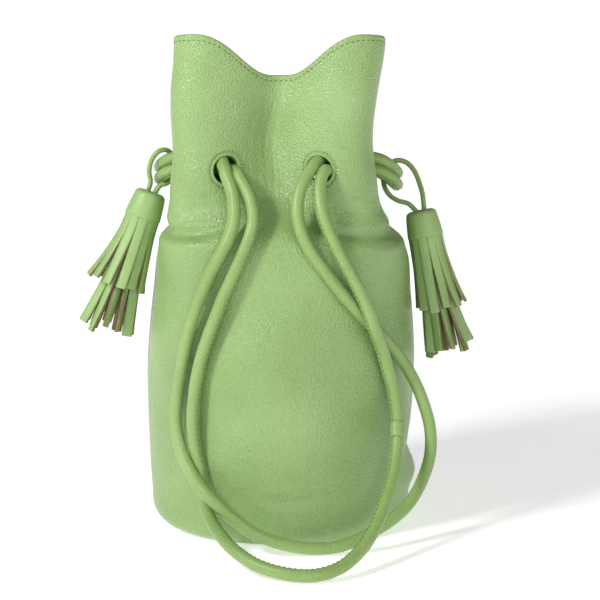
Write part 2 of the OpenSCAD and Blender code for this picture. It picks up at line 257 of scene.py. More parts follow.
pebbled_leather = leather("pebbled_calf_leather",
                          [(0.25, "#7a9857"), (0.55, "#8ca96a"), (0.85, "#99b577")], 1.1, 0.42, 0.28)
strap_leather = leather("rolled_strap_leather",
                        [(0.25, "#789450"), (0.55, "#8ba862"), (0.85, "#9ab673")], 0.9, 0.12, 0.36)
cap_leather = leather("smooth_tassel_leather",
                      [(0.25, "#7f9f5c"), (0.55, "#90ae6c"), (0.85, "#9bb878")], 0.9, 0.07, 0.40)
facing_leather = leather("smooth_facing_leather",
                         [(0.25, "#6f8f4c"), (0.55, "#7f9e5b"), (0.85, "#8cab69")], 1.2, 0.12, 0.46)
binding_leather = leather("skived_binding_leather",
                          [(0.25, "#7c9c59"), (0.55, "#8cab69"), (0.85, "#99b777")], 0.8, 0.06, 0.38)
print("leathers:", [m.name for m in bpy.data.materials])

# %% [markdown]
# ### Flesh side and board
# Cut leather shows its flesh side: undyed, khaki and fibrous, rough enough to have no gloss. The bottom is
# stiffened with pressed fibre board, which has the same look in grey, so one function makes both.

# %% Flesh side and board
def fibrous(name, stops, fibre_mm, relief_mm):
    """A matt fibrous surface, such as the flesh side of leather or pressed board."""
    material, tree, shader, place = new_material(name)
    fibres = add(tree, "ShaderNodeTexNoise", {"Vector": place, "Scale": per_metre(fibre_mm), "Detail": 6.0,
                                              "Roughness": 0.7})
    patches = add(tree, "ShaderNodeTexNoise", {"Vector": place, "Scale": per_metre(12), "Detail": 2.0})
    tone = add(tree, "ShaderNodeMath", {0: fibres.outputs["Fac"], 1: 0.6, 2: patches.outputs["Fac"]},
               operation="MULTIPLY_ADD")
    half = add(tree, "ShaderNodeMath", {0: tone.outputs["Value"], 1: 0.62}, operation="MULTIPLY")
    khaki = add(tree, "ShaderNodeValToRGB", {"Fac": half.outputs["Value"]}, stops)
    tree.links.new(khaki.outputs["Color"], shader.inputs["Base Color"])
    bump = add(tree, "ShaderNodeBump", {"Height": fibres.outputs["Fac"], "Strength": 0.9,
                                        "Distance": relief_mm * MM})
    tree.links.new(bump.outputs["Normal"], shader.inputs["Normal"])
    shader.inputs["Roughness"].default_value = 0.88
    shader.inputs["Specular IOR Level"].default_value = 0.25
    return material


flesh_side = fibrous("undyed_flesh_side", [(0.3, "#5d5838"), (0.5, "#7b7550"), (0.7, "#98926c")], 0.9, 0.25)
fibre_board = fibrous("pressed_fibre_board", [(0.3, "#6f6a60"), (0.5, "#847e72"), (0.7, "#989284")],
                      1.4, 0.15)
print("fibrous:", flesh_side.name, fibre_board.name)

# %% [markdown]
# ### Thread and cloth
# The thread is waxed polyester, so it has a tight twist and a small shine. The lining is cotton twill, whose
# diagonal ribs are crossed by a finer weft. Bands of a wave give both, at the size of the real twist.

# %% Thread and twill
def thread(name, dark, light, twist_mm):
    """Twisted waxed thread: a fine band pattern along the twist, and a small shine."""
    material, tree, shader, place = new_material(name)
    twist = add(tree, "ShaderNodeTexWave", {"Vector": place, "Scale": per_metre(twist_mm) / 6,
                                            "Distortion": 2.0}, bands_direction="DIAGONAL")
    tint = add(tree, "ShaderNodeValToRGB", {"Fac": twist.outputs["Fac"]}, [(0.2, dark), (0.8, light)])
    tree.links.new(tint.outputs["Color"], shader.inputs["Base Color"])
    bump = add(tree, "ShaderNodeBump", {"Height": twist.outputs["Fac"], "Strength": 0.6,
                                        "Distance": 0.06 * MM})
    tree.links.new(bump.outputs["Normal"], shader.inputs["Normal"])
    shader.inputs["Roughness"].default_value = 0.5
    return material


def twill(name, dark, light, thread_mm):
    """Cotton twill: diagonal ribs, crossed by the finer weft."""
    material, tree, shader, place = new_material(name)
    ribs = add(tree, "ShaderNodeTexWave", {"Vector": place, "Scale": per_metre(thread_mm) / 6,
                                           "Distortion": 0.6}, bands_direction="DIAGONAL")
    weft = add(tree, "ShaderNodeTexWave", {"Vector": place, "Scale": per_metre(thread_mm) / 4,
                                           "Distortion": 0.6}, bands_direction="Z")
    both = add(tree, "ShaderNodeMath", {0: ribs.outputs["Fac"], 1: weft.outputs["Fac"]}, operation="MULTIPLY")
    tint = add(tree, "ShaderNodeValToRGB", {"Fac": both.outputs["Value"]}, [(0.1, dark), (0.9, light)])
    tree.links.new(tint.outputs["Color"], shader.inputs["Base Color"])
    bump = add(tree, "ShaderNodeBump", {"Height": both.outputs["Value"], "Strength": 0.8,
                                        "Distance": 0.2 * MM})
    tree.links.new(bump.outputs["Normal"], shader.inputs["Normal"])
    shader.inputs["Roughness"].default_value = 0.9
    shader.inputs["Sheen Weight"].default_value = 0.2
    return material


dark_thread = thread("waxed_green_thread", "#4c6a2e", "#688a46", 0.5)
lining_twill = twill("cotton_twill_lining", "#9c8f70", "#c4b894", 1.2)
print("thread and cloth:", dark_thread.name, lining_twill.name)

# %% [markdown]
# ## The shape of the pouch
# The pouch is two panels sewn at the sides, a round bottom, and a neck that the straps pull into four lobes.
# One rule gives every point of its wall from an azimuth and a height: a mean radius, and four gathers whose
# depth grows toward the mouth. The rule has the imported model's form and nearly its sizes. The neck also leans
# a few millimetres to one side here, because soft leather never stands quite straight.

# %% The wall as a rule
BASE_R, CORNER_H, BELLY_R, NECK_R, MOUTH_H = 66.0, 13.0, 79.5, 57.6, 271.0
CORNER_R = BELLY_R - 2.5
RIM_WAVE, RIM_FROM, GATHER = 10.6, 222, 17.0
LEATHER_T = 1.6
STATIONS = np.array([  # height, mean radius, depth of the gathers
    (CORNER_H, CORNER_R, 0), (95, BELLY_R, 0), (137, BELLY_R - 2.1, 0.06 * GATHER),
    (168, BELLY_R - 3.5, 0.30 * GATHER), (195, 64, 0.82 * GATHER), (222, NECK_R, GATHER),
    (255, NECK_R + 1.6, GATHER), (MOUTH_H, NECK_R + 2.4, GATHER)])
TUCK = np.array([  # height, how far the sides are drawn in
    (0, 0), (158, 0), (168, 0.8), (177, 2.2), (186, 3.0), (196, 2.9), (206, 2.2), (235, 1.9), (262, 1.2),
    (290, 1)])
LEAN = np.array([  # height, sideways shift
    (0, 0), (88, 0.3), (116, 1.0), (135, 1.7), (150, 2.3), (165, 1.5), (176, 0.2), (190, -2.3),
    (214, -3.0), (234, -3.6), (250, -2.0), (262, 0.5), (290, 1.0)])


def station(z, column):
    """Smooth curve through one column of the stations."""
    heights, values = STATIONS[:, 0], STATIONS[:, column]
    slope = np.zeros(len(heights))
    slope[1:-1] = (values[2:] - values[:-2]) / (heights[2:] - heights[:-2])
    i = np.clip(np.searchsorted(heights, z, side="right") - 1, 0, len(heights) - 2)
    h = heights[i + 1] - heights[i]
    u = np.clip((z - heights[i]) / h, 0, 1)
    return ((2 * u**3 - 3 * u**2 + 1) * values[i] + (u**3 - 2 * u**2 + u) * h * slope[i]
            + (3 * u**2 - 2 * u**3) * values[i + 1] + (u**3 - u**2) * h * slope[i + 1])


def smooth(t):
    t = np.clip(t, 0, 1)
    return t * t * (3 - 2 * t)


def lean(z):
    """Sideways shift of the pouch at height z, smoothed over a few millimetres."""
    return sum(np.interp(z + d, LEAN[:, 0], LEAN[:, 1]) for d in (-6, -3, 0, 3, 6)) / 5

print("mean radius at the neck:", NECK_R, "mm, at the belly:", BELLY_R, "mm")

# %% [markdown]
# ## How soft leather creases
# A gathered neck folds the leather below it. Each lobe carries one deep fold just under the eyelets and a
# few fine ones above it, the valleys are full of small upright puckers, and the belly sags a little under
# its own weight. Each of these is a small hill or dent in the same azimuth and height as the wall.

# %% Folds, puckers and sag
def turned_by(azimuth, middle):
    return (azimuth - middle + 180) % 360 - 180


def fold(a, z, middle, half, height, rise, depth, width):
    """A crease across the wall, at its height in the middle and higher by rise at both ends."""
    across = turned_by(a, middle) / half
    d = (z - height - rise * across**2) / width
    fade = np.clip(1 - across**2, 0, 1)
    return depth * fade * (0.15 * np.exp(-(d - 2) ** 2) + 0.35 * np.exp(-(d + 2) ** 2) - np.exp(-d**2))


def swell(a, z, middle, half, height, tall, size):
    """A soft hill on the wall, or a dent where size is negative."""
    return size * np.exp(-(turned_by(a, middle) / half) ** 2 - ((z - height) / tall) ** 2)


FOLDS = [  # middle azimuth, half angle, height, rise, depth, width
    (-44, 36, 173, 10, 3.9, 4.0), (-136, 36, 175, 9, 3.8, 4.0), (45, 30, 174, 9, 1.8, 3.4),
    (135, 30, 176, 9, 1.8, 3.4), (-54, 22, 182, 6, 0.8, 1.8), (-46, 20, 187, 7, 0.6, 1.5),
    (-52, 17, 192, 6, 0.5, 1.4), (-126, 22, 184, 6, 0.8, 1.8), (-134, 20, 189, 7, 0.6, 1.5),
    (-128, 16, 194, 6, 0.5, 1.4), (-62, 12, 167, 3, 0.6, 1.8), (-118, 12, 170, 3, 0.6, 1.8),
    (50, 20, 186, 5, 0.7, 2.0), (130, 20, 188, 5, 0.7, 2.0), (-8, 17, 42, 4, 1.5, 2.8),
    (-92, 18, 194, -2, 0.4, 2.0), (90, 20, 196, -2, 0.5, 2.0), (-84, 20, 27, 3, 0.9, 2.6)]
SWELLS = [  # middle azimuth, half angle, height, half height, size
    (-57, 15, 187, 10, -4.2), (-123, 15, 188, 10, -4.2), (-50, 20, 162, 7, 1.5), (-130, 20, 164, 7, 1.6),
    (-6, 19, 29, 9, 4.2), (-10, 16, 46, 9, -1.4), (-60, 20, 146, 14, 1.2), (-116, 16, 142, 14, 1.0),
    (-92, 15, 112, 14, 1.9), (-72, 14, 92, 14, -2.0), (-104, 13, 76, 10, -2.3), (-111, 13, 46, 11, 1.9),
    (-80, 18, 50, 12, 1.2), (-130, 20, 70, 26, -0.8), (-50, 20, 70, 26, 0.8), (-90, 9, 236, 20, -1.6),
    (-90, 12, 172, 10, 1.4), (-90, 12, 132, 9, -1.0), (-140, 14, 240, 16, 0.8), (-46, 12, 240, 16, 1.0),
    (40, 22, 80, 30, 0.8), (120, 24, 60, 26, -0.6), (-168, 10, 30, 12, 0.6)]


def relief(a, z):
    """How far the leather stands out of the plain wall, in millimetres, at azimuth a and height z."""
    r = np.radians(a)
    soft = 0.34 * np.sin(3 * r + z / 31) * np.sin(z / 23 + 2) + 0.22 * np.sin(7 * r - z / 17 + 1) \
        + 0.10 * np.sin(13 * r + z / 9)
    out = soft * smooth((z - 6) / 20)
    for row in FOLDS:
        out = out + fold(a, z, *row)
    for row in SWELLS:
        out = out + swell(a, z, *row)
    out = out - np.interp(z, TUCK[:, 0], TUCK[:, 1]) * smooth(1.4 * np.abs(np.cos(r)))
    near_valley = np.exp(-(turned_by(a, 90 * np.round(a / 90)) / 17) ** 2)
    puckers = np.sin(r * 74 + 2.2 * np.sin(z / 15) + 0.9 * np.sin(z / 5.7)) + 0.7 * np.sin(r * 117 - z / 11)
    out = out + 0.13 * near_valley * puckers * smooth((z - 186) / 24) * (1 - smooth((z - 240) / 24))
    for middle in (0, 180):
        d = turned_by(a, middle)
        out = out - 0.9 * np.exp(-(d / 1.2) ** 2) + 0.25 * np.exp(-((np.abs(d) - 3.2) / 1.2) ** 2)
    out = out - 0.22 * np.exp(-((z - (MOUTH_H - 2.7)) / 0.8) ** 2)
    return out


def wall(azimuth, height, depth=0.0, creased=True):
    """Points of the wall, depth below its outer face; azimuths in degrees, all else in millimetres."""
    azimuth, z, depth = (np.asarray(v, float) for v in np.broadcast_arrays(azimuth, height, depth))
    a = np.radians(azimuth)
    low = 1 - np.clip(z / CORNER_H, 0, 1)
    rounding = np.sqrt(np.maximum(1 - low**2, 0))
    gathers = station(z, 2)
    r = station(z, 1) - gathers * np.cos(4 * a) - (CORNER_R - BASE_R) * (1 - rounding)
    dr = 4 * gathers * np.sin(4 * a)
    slope = (station(z + 1, 1) - station(z - 1, 1)) / 2
    plan = unit(np.stack([r * np.cos(a) + dr * np.sin(a), r * np.sin(a) - dr * np.cos(a)], axis=-1))
    up_r = (CORNER_R - BASE_R) / CORNER_H * low + slope * rounding
    normal = unit(np.concatenate([plan * rounding[..., None], -up_r[..., None]], axis=-1))
    wave = 2 * smooth((0.98 - np.cos(2 * a) ** 2) / 0.95) - 1
    rise = RIM_WAVE * wave * smooth((z - RIM_FROM) / (MOUTH_H - RIM_FROM))
    point = np.stack([r * np.cos(a) + lean(z), r * np.sin(a), z + rise], axis=-1)
    out = relief(azimuth, z) if creased else 0.0
    return point + normal * (out - depth)[..., None]


print("creases:", len(FOLDS), "swells:", len(SWELLS))

# %% [markdown]
# ### Eyelets
# Eight holes go round the neck, in pairs on both sides of each valley, so that the straps can gather it.
# A boolean would punch them, but it leaves a ragged fan of long faces round each hole. So the places of the
# holes are worked out first, in degrees and millimetres along the wall, and the leather is built with them.

# %% Places of the eyelets
EYELET_H, EYELET_TURN = 209.2, 24
EYELETS = [90 * k + side * EYELET_TURN for k in range(-2, 2) for side in (-1, 1)]
HOLE_R, BORE_R = 8.5, 7.6


def wall_scale(azimuth, height):
    """Millimetres along the wall for one degree of azimuth and for one of height."""
    p = wall(np.array([azimuth - 1, azimuth + 1, azimuth, azimuth]),
             np.array([height, height, height - 1, height + 1]), creased=False)
    return np.linalg.norm(p[1] - p[0]) / 2, np.linalg.norm(p[3] - p[2]) / 2


def around_eyelet(azimuth, radius, angle):
    """Azimuths and heights of points at a radius and angle round an eyelet."""
    per_degree, per_height = wall_scale(azimuth, EYELET_H)
    return azimuth + radius * np.cos(angle) / per_degree, EYELET_H + radius * np.sin(angle) / per_height

# %% [markdown]
# ## Cutting and closing the leather
# A skin is a piece of sheet leather: an outer face, an inner face, and a rounded edge all the way round it
# and round each hole in it. Grid squares over a hole are dropped, and the ones left round it are drawn in to
# the circle, so the hole is a clean round cut.

# %% Skins
def skin(name, azimuths, heights, depth, thickness, outside, inside, holes=(), closed=False):
    """A sheet between two depths of the wall; the depth may vary with height."""
    z, a = np.meshgrid(heights, azimuths, indexing="ij")
    rows, columns = a.shape
    quads = grid_faces(rows, columns, close_columns=closed)
    a, z = a.ravel().astype(float), z.ravel().astype(float)
    kept = np.ones(len(quads), bool)
    for azimuth in holes:
        per_degree, per_height = wall_scale(azimuth, EYELET_H)
        u, v = turned_by(a, azimuth) * per_degree, (z - EYELET_H) * per_height
        distance = np.hypot(u, v)
        cut = (distance[quads] < HOLE_R).any(axis=1)
        edge = np.setdiff1d(np.intersect1d(quads[cut], quads[~cut]), np.where(distance < HOLE_R)[0])
        pull = HOLE_R / distance[edge]
        a[edge] += u[edge] * (pull - 1) / per_degree
        z[edge] += v[edge] * (pull - 1) / per_height
        kept &= ~cut
    quads = quads[kept]
    d = depth(z) if callable(depth) else depth
    outer, inner = wall(a, z, d), wall(a, z, d + thickness)
    n = len(a)
    edges = np.concatenate([quads[:, [k, (k + 1) % 4]] for k in range(4)])
    paired = np.isin(edges[:, 0] * n + edges[:, 1], edges[:, 1] * n + edges[:, 0])
    rim = edges[~paired]
    push = np.zeros((n, 3))
    sideways = unit(np.cross(outer[rim[:, 1]] - outer[rim[:, 0]], outer[rim[:, 0]] - inner[rim[:, 0]]))
    np.add.at(push, rim[:, 0], sideways)
    np.add.at(push, rim[:, 1], sideways)
    round_edge = (outer + inner) / 2 + unit(push) * 0.32 * thickness
    p, q = rim[:, 0], rim[:, 1]
    faces = np.concatenate([
        quads, quads[:, ::-1] + n,
        np.stack([q, p, p + 2 * n, q + 2 * n], axis=1),
        np.stack([q + 2 * n, p + 2 * n, p + n, q + n], axis=1)])
    used, index = np.unique(faces, return_inverse=True)
    points = np.concatenate([outer, inner, round_edge])[used]
    which = np.concatenate([np.zeros(len(quads)), np.ones(len(quads)), np.zeros(2 * len(rim))])
    return make_piece(name, points, index.reshape(faces.shape), [outside, inside], which)

# %% [markdown]
# ### Front and back panels
# The pouch is two panels that meet in a seam at each side, so there is a hair's breadth between them. The
# rows lie closer together from the shoulder up, where the creases and the puckers are.

# %% Panels
corner_rows = CORNER_H * (1 - np.cos(np.radians(np.arange(0, 90, 9))))
panel_rows = np.concatenate([corner_rows, np.arange(CORNER_H, 190, 1.9), np.linspace(190, MOUTH_H, 62)])
for name, start in (("front_panel", 180), ("back_panel", 0)):
    angles = np.linspace(start + 0.12, start + 179.88, 161)
    panel = skin(name + "_leather", angles, panel_rows, 0, LEATHER_T, pebbled_leather, flesh_side,
                 [x for x in EYELETS if start < (x + 360) % 360 < start + 180])
    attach(panel, "bag")
    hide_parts(name)
    print(panel.name, len(panel.data.polygons), "faces")

# %% [markdown]
# ### Facing and lining
# Inside the mouth the leather is faced with a band of smooth leather, down past the eyelets. Below it hangs
# the cotton lining, which laps over the lower edge of the facing, where it is sewn down. Cloth simulation
# could hang the lining, but it is sewn in all round and can't move far from the leather. So both are skins
# of the same wall, each at its own depth, and they crease wherever the leather does.

# %% Facing and lining
facing = skin("mouth_facing_leather", np.arange(0, 360, 1.5), np.linspace(195, MOUTH_H - 0.25, 46),
              LEATHER_T + 0.15, 1.2, facing_leather, facing_leather, EYELETS, closed=True)


def lining_depth(z):
    return 1.8 + 1.35 * smooth((z - 180) / 12)


lining_rows = np.concatenate([corner_rows[2:], np.arange(CORNER_H, 200, 3.4)])
lining = skin("lining_cloth", np.arange(0, 360, 2), lining_rows, lining_depth, 0.6, lining_twill,
              lining_twill, closed=True)
for piece, node, finish in ((facing, "mouth_facing", "facing_leather"), (lining, "lining", "lining_cloth")):
    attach(piece, "bag")
    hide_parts(node)
    print(piece.name, len(piece.data.polygons), "faces")

# %% [markdown]
# ## Turned pieces
# The bottom is two flat discs of leather and cloth with a board between them, and the caps and rolls of the
# tassels are round too. Blender's own cylinder or a Screw modifier could start them. Here a short section is
# swept round an axis by a formula, because one helper then makes every round piece at any tilt.

# %% Turned shapes
def axes_for(axis, hint=(0, -1, 0)):
    """Three directions with the last along axis and the first as near to hint as it can be."""
    w = unit(np.asarray(axis, float))
    u = unit(np.asarray(hint, float) - np.dot(hint, w) * w)
    return u, np.cross(w, u), w


def turned_shape(name, section, origin, axes, material, steps=64, wobble=None):
    """A section of (radius, height) points, first to last, swept round the axis and closed on itself."""
    u, v, w = axes
    angle = np.linspace(0, 2 * np.pi, steps, endpoint=False)
    section = np.asarray(section, float)
    radius = section[:, :1] + (0 if wobble is None else wobble(angle[None, :], section[:, 1:]))
    points = (np.asarray(origin, float) + (radius * np.cos(angle))[..., None] * u
              + (radius * np.sin(angle))[..., None] * v + section[:, 1, None, None] * w)
    faces = grid_faces(len(section), steps, close_rows=True, close_columns=True)
    return make_piece(name, points.reshape(-1, 3), faces, [material])


upright = axes_for((0, 0, 1))
bottoms = [
    ("base_panel", "pebbled_leather", pebbled_leather,
     [(0.2, 1.6), (0.2, 0.9), (30, 0.8), (61, 0.5), (61.8, 0.75), (62.6, 0.4), (65.0, 0.15), (65.6, 0.7),
      (65.2, 1.4), (64.6, 1.6)]),
    ("base_lining", "lining_cloth", lining_twill,
     [(0.2, 4.35), (0.2, 3.75), (64.4, 3.75), (64.9, 4.0), (64.5, 4.3), (63.4, 4.35), (30, 4.5)])]
for node, finish, material, section in bottoms:
    disc = turned_shape(node + "_disc", section, (0, 0, 0), upright, material, 120)
    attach(disc, "bag")
    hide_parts(node)
    print(disc.name, "radius", max(r for r, _ in section), "mm")
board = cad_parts["base_board"]
board.data.materials.clear()
board.data.materials.append(fibre_board)

# %% [markdown]
# ### Bound eyelets
# Each eyelet is bound with a strip of skived leather that wraps through the hole and is sewn down on both
# sides. A plain torus would stand off the curved leather at some points and sink into it at others. So the
# section of the binding is swept round the hole on the wall itself, and follows its curve.

# %% Bindings
INSIDE = LEATHER_T + 0.15 + 1.2
BINDING = [  # distance outside the bore, height above the outer face
    (1.55, 0.02), (1.5, 0.28), (1.15, 0.5), (0.6, 0.55), (0.18, 0.3), (0.0, -0.1), (-0.05, -1.5),
    (0.0, -INSIDE), (0.18, -INSIDE - 0.3), (0.6, -INSIDE - 0.5), (1.15, -INSIDE - 0.45),
    (1.5, -INSIDE - 0.25), (1.55, -INSIDE + 0.02), (0.85, -INSIDE + 0.02), (0.85, 0.0)]
EYELET_NAMES = ["left_back", "left_front", "front_left", "front_right", "right_front", "right_back",
                "back_right", "back_left"]
around = np.linspace(0, 2 * np.pi, 56, endpoint=False)
for azimuth, place in zip(EYELETS, EYELET_NAMES):
    rings = []
    for out, height in BINDING:
        a, z = around_eyelet(azimuth, BORE_R + out, around)
        rings.append(wall(a, z, -height))
    faces = grid_faces(len(BINDING), len(around), close_rows=True, close_columns=True)[:, ::-1]
    ring = make_piece("eyelet_" + place + "_binding", np.concatenate(rings), faces, [binding_leather])
    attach(ring, "bag")
    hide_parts("eyelet_" + place)
print("eyelets:", len(EYELETS))

# %% [markdown]
# ## Stitches
# A stitch is a short bead of thread, proud in the middle and pulled into the leather at both ends. A row
# could be one bead with Array and Curve modifiers, but the spacing would then stretch at every bend. Here
# each bead is set down along a dense line at an even pitch, facing out of the surface, all in one mesh.

# %% Rows of stitches
BEAD_SIDES = 6


def stitches(name, line, outward, pitch, length, width, material):
    """One mesh of stitches along a dense line."""
    run = np.concatenate([[0], np.cumsum(np.linalg.norm(np.diff(line, axis=0), axis=1))])
    count = max(1, int(run[-1] / pitch))
    middle = (np.arange(count) + 0.5) * run[-1] / count
    along = np.array([-0.5, -0.36, 0, 0.36, 0.5]) * length
    sunk = np.array([-0.3, 0.12, 0.24, 0.12, -0.3]) * width
    thick = np.array([0.3, 0.9, 1.0, 0.9, 0.3]) * width / 2
    where = (middle[:, None] + along).ravel()
    point = np.stack([np.interp(where, run, line[:, k]) for k in range(3)], axis=1)
    out = unit(np.stack([np.interp(where, run, outward[:, k]) for k in range(3)], axis=1))
    step = np.stack([np.interp(where + 0.3, run, line[:, k]) - np.interp(where - 0.3, run, line[:, k])
                     for k in range(3)], axis=1)
    side = unit(np.cross(step, out))
    angle = np.linspace(0, 2 * np.pi, BEAD_SIDES, endpoint=False)
    lift, size = np.tile(sunk, count)[:, None], np.tile(thick, count)[:, None, None]
    rings = ((point + lift * out)[:, None] + size * (np.cos(angle)[None, :, None] * side[:, None]
             + np.sin(angle)[None, :, None] * out[:, None]))
    one = grid_faces(len(along), BEAD_SIDES, close_columns=True)
    faces = np.concatenate([one + len(along) * BEAD_SIDES * k for k in range(count)])
    return make_piece(name, rings.reshape(-1, 3), faces, [material])

# %% [markdown]
# ### Seams on the wall
# The facing is sewn to the leather just below the rim and again at its lower edge, and each binding has a
# ring of small stitches. These seams follow lines of azimuth and height, so they lie in every crease.

# %% Seams on the wall
def seam_on_wall(name, azimuths, heights, pitch=3.0, depth=0.0):
    """Stitches that follow a line of azimuths and heights on the wall."""
    line = wall(azimuths, heights, depth)
    outward = unit(line - wall(azimuths, heights, np.asarray(depth) + 1.0))
    if depth > 0:
        outward = -outward
    seam = stitches(name, line, outward, pitch, 0.66 * pitch, 0.5, dark_thread)
    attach(seam, "bag")
    return seam


RIM_SEAM = MOUTH_H - 2.7
round_the_bag = np.linspace(0, 360, 721)
seam_on_wall("rim_stitches", round_the_bag, np.full_like(round_the_bag, RIM_SEAM))
seam_on_wall("facing_stitches", round_the_bag, np.full_like(round_the_bag, 197), 3.4, 3.9)
for azimuth, place in zip(EYELETS, EYELET_NAMES):
    a, z = around_eyelet(azimuth, BORE_R + 2.7, np.linspace(0, 2 * np.pi, 97))
    seam_on_wall("eyelet_" + place + "_stitches", a, z, 1.9)
print("seams on the wall:", 2 + len(EYELETS))

# %% [markdown]
# ## Straps
# Each strap is a leather strip folded round a cord and sewn along one edge, which leaves a ridge with a row
# of stitches down it. It goes in at a front eyelet, round the neck through the other eyelets, and out at the
# front again; what is left over is the handle, and here it hangs down in front and lies on the floor. It
# could be dropped as a simulated rope, but it has to stay near the imported model's, so its line goes through
# listed points. The lower part is the imported route. From there up to the neck the line is a few
# millimetres away from it, because the dressed neck leans and its eyelets lie lower.

# %% Strap lines
STRAP_R = 3.4
RIDGE = 0.45
WALL_CROSS_R, HALF_WIDTH, CUT_R = 54.5, 25.4, 54.0


def strap_section(angle):
    """Radius of the strap's section, with a sewn ridge at angle 0 and a groove for the stitches beside it."""
    off = np.abs((angle + np.pi) % (2 * np.pi) - np.pi)
    return STRAP_R + RIDGE * np.exp(-(off / 0.30) ** 2) - 0.16 * np.exp(-((off - 0.72) / 0.22) ** 2)


def turn(points, degrees):
    a = math.radians(degrees)
    p = np.asarray(points, float)
    return np.stack([p[:, 0] * math.cos(a) - p[:, 1] * math.sin(a),
                     p[:, 0] * math.sin(a) + p[:, 1] * math.cos(a), p[:, 2]], axis=1)


def bulge(azimuth, reach, sag, height):
    """Outside a valley: half an ellipse from one eyelet to the next, dipping by sag in its middle."""
    e = np.radians(np.arange(0, 181, 22.5))
    line = np.stack([WALL_CROSS_R + (reach - WALL_CROSS_R) * np.sin(e), -HALF_WIDTH * np.cos(e),
                     height - sag * np.sin(e) ** 2], axis=1)
    return turn(line, azimuth)


def corner_cut(azimuth, height):
    """Inside a lobe: the strap cuts the corner between two eyelets."""
    e = np.radians([-12, 0, 12])
    return turn(np.stack([CUT_R * np.cos(e), CUT_R * np.sin(e), np.full(3, height)], axis=1), azimuth)


def leaning(points):
    """Points near the neck lean with it; points well below it stay where they are."""
    p = np.array(points, float)
    p[:, 0] += lean(212.0) * smooth((p[:, 2] - 176) / 26)
    return p


STRAPS = {
    "strap_one": dict(
        height=215.4, seam_start=(-1, -0.2, 0), seam_end=(0, 1, 0),
        left_exit=[(-28.8, -60, 208.6), (-29.8, -57, 210.2), (-30.4, -53.5, 212), (-31.5, -49.5, 214.5)],
        right_exit=[(22.6, -49.5, 214.5), (21.8, -53.5, 213), (20.2, -57, 212), (19, -60, 210)],
        route=[(-28, -62.4, 205.2), (-25.2, -66, 198.5), (-23.6, -70, 191), (-23.6, -73, 182),
               (-26.2, -75.2, 172.5), (-31, -76, 163), (-36, -75, 154), (-40.6, -73.6, 143.7),
               (-45.7, -71, 130.7), (-50.5, -67, 114.5), (-53.5, -64.6, 100), (-56, -62.5, 84),
               (-57, -63, 69),
               (-54, -69, 55), (-49, -74.5, 45), (-44, -78.5, 38), (-38, -83, 32), (-31, -86.5, 26),
               (-22, -88.5, 19), (-12, -90, 12.5), (3, -89.5, 6.8), (20, -87.5, 3.8), (36, -85, 5),
               (50, -80, 10), (62, -72, 15), (73, -62, 22), (81, -54, 33), (86, -49, 47), (86, -48, 62),
               (82, -49, 77), (76, -50, 91), (68, -53, 104), (59, -59, 115), (50, -66.5, 125), (41, -73, 135),
               (33, -76, 144.5), (25.5, -77.3, 154.5), (18.5, -77, 164), (13.4, -75.5, 173.5),
               (10.8, -73, 183), (10.8, -70, 192), (13, -66.5, 200), (16.3, -62.8, 206)]),
    "strap_two": dict(
        height=208.6, seam_start=(1, -0.5, 0), seam_end=(-0.8, -0.6, 0),
        left_exit=[(-22, -60.5, 206.2), (-23.2, -57, 207.3), (-24, -53.5, 207.9), (-25.8, -49.5, 208.3)],
        right_exit=[(29.2, -49.3, 208), (27.6, -53.5, 208), (26.2, -57, 208.4), (25.2, -60, 208)],
        route=[(-20.4, -63.2, 203.4), (-17.2, -66.8, 198), (-14.4, -70, 191), (-13.4, -73, 182),
               (-15.4, -75.5, 172.6), (-20.4, -77, 160.5), (-25.2, -77, 150), (-29.4, -76.5, 140.8),
               (-33.9, -75.5, 129.5), (-38.5, -74, 117.5), (-42.5, -72.3, 105), (-46, -70.4, 88),
               (-47.5, -69.2, 71), (-46.5, -69.2, 57), (-44, -70, 45), (-42, -72, 34), (-40, -78, 25),
               (-36, -89, 19), (-31, -100, 15.5), (-23, -113, 11), (-11, -125, 6.8), (4, -132, 4.2),
               (20, -133.5, 3.8), (34, -127, 6.5), (45, -114, 12.5), (53, -100, 21), (59, -87, 32),
               (64, -75, 45), (66, -65.5, 58), (66.5, -59, 71), (64.5, -58, 85), (61, -61, 98),
               (57.5, -66, 110), (53, -73.5, 122), (48.4, -77, 135), (41.8, -79, 149), (34.5, -78.5, 162),
               (28.5, -76, 174), (24, -72.5, 186), (22.6, -68.5, 195.5), (23.4, -64, 203.4)]),
}
RIGHT_REACH, RIGHT_SAG, LEFT_REACH, LEFT_SAG, BACK_REACH = 72.5, 9.5, 68.0, 6.0, 61.5
LAP_AT = 28
print("points laid by hand:", {name: len(strap["route"]) for name, strap in STRAPS.items()})

# %% [markdown]
# ### One strap after another
# The part round the neck stays with the bag. The hanging part leaves the neck through the front eyelets,
# and the mesh of each handle is one tube from one of them to the other. A small sleeve covers the place where
# the ends of the strap are joined.

# %% Build the straps
SLEEVE = [(3.2, -4.2), (3.8, -4.5), (4.1, -4.2), (4.2, -3), (4.15, 3), (4.05, 4.2), (3.75, 4.5), (3.2, 4.2)]


def sewn_strap(name, line, seam_start, seam_end):
    """The strap's tube and the stitches beside its ridge."""
    _, side, across = line_frames(line, seam_start, seam_end)
    body = tube(name, line, side, across, strap_section, strap_leather, 28)
    angle = 0.62
    out = math.cos(angle) * side + math.sin(angle) * across
    radius = float(strap_section(np.array([angle]))[0])
    seam = stitches(name + "_stitches", line + radius * out, out, 2.9, 2.0, 0.5, dark_thread)
    return body, seam


